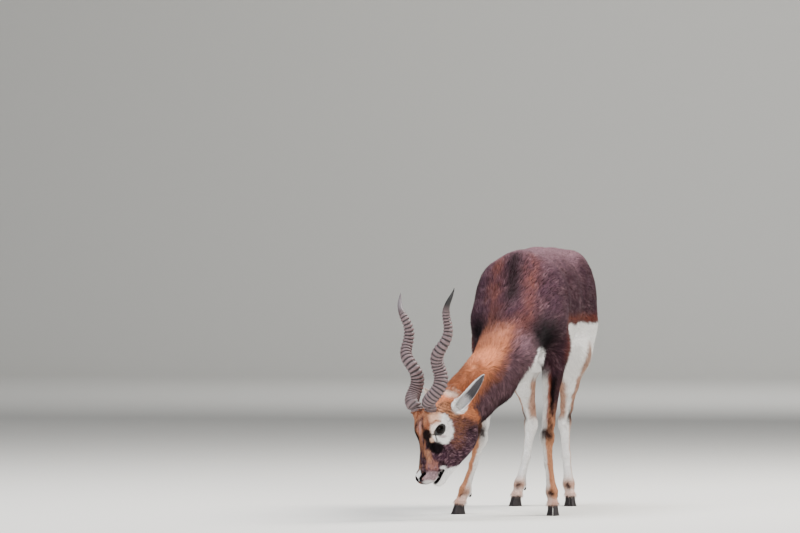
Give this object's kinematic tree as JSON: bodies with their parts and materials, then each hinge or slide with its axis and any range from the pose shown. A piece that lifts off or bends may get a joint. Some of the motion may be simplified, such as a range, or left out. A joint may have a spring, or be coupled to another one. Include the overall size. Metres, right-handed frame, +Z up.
{
  "type": "blackbuck",
  "caption": "Male blackbuck standing with its head lowered to graze, with ringed spiral horns, a dark brown back, white belly and white eye patches.",
  "frame": {"origin": "on the floor, below the middle of the animal's length and width, horns and tail included", "axes": "+Z up, the animal faces -Y, its left side is +X"},
  "size_m": [0.4264, 1.0944, 0.7231],
  "materials": {
    "coat_brown": "short matt hair, dark purple brown",
    "coat_rufous": "short matt hair, rufous orange",
    "coat_white": "short matt hair, white",
    "horn_grey": "ringed horn, satin",
    "hoof_black": "smooth horn, satin",
    "eye_dark": "wet gloss"
  },
  "bodies": {
    "root": {"torso": "coat_brown", "neck": "coat_rufous", "head": "coat_brown", "tail": "coat_brown", "leg_fore_left": "coat_white", "leg_fore_right": "coat_white", "leg_hind_left": "coat_white", "leg_hind_right": "coat_white", "hoof_fore_left_left": "hoof_black", "hoof_fore_left_right": "hoof_black", "hoof_fore_right_left": "hoof_black", "hoof_fore_right_right": "hoof_black", "hoof_hind_left_left": "hoof_black", "hoof_hind_left_right": "hoof_black", "hoof_hind_right_left": "hoof_black", "hoof_hind_right_right": "hoof_black", "horn_left": "horn_grey", "horn_right": "horn_grey", "ear_left": "coat_white", "ear_right": "coat_white", "eye_left": "eye_dark", "eye_right": "eye_dark"}
  },
  "joints": []
}
